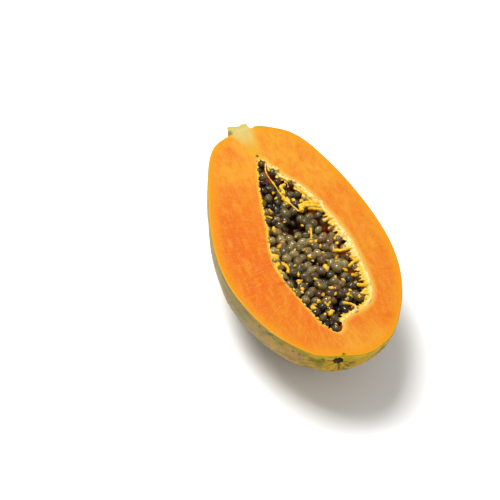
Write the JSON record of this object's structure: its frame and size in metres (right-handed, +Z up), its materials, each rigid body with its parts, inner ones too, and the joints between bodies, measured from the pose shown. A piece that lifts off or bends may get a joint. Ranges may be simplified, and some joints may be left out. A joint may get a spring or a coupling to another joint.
{
  "type": "halved papaya",
  "caption": "Ripe papaya half on its skin back, cut face up: green-flecked skin, orange flesh, stalk stub, and a seed cavity full of dark glossy seeds on yellow placenta.",
  "frame": {"origin": "on the resting surface, under the middle of the part's box", "axes": "+Z up, out of the cut face; +Y along the fruit, towards the stalk; +X across it"},
  "size_m": [0.1036, 0.176, 0.053],
  "materials": {
    "fruit": "satin",
    "placenta": "satin",
    "seed": "gloss"
  },
  "bodies": {
    "root": {"fruit_half": "fruit", "placenta": "placenta", "seeds": "seed"}
  },
  "joints": []
}
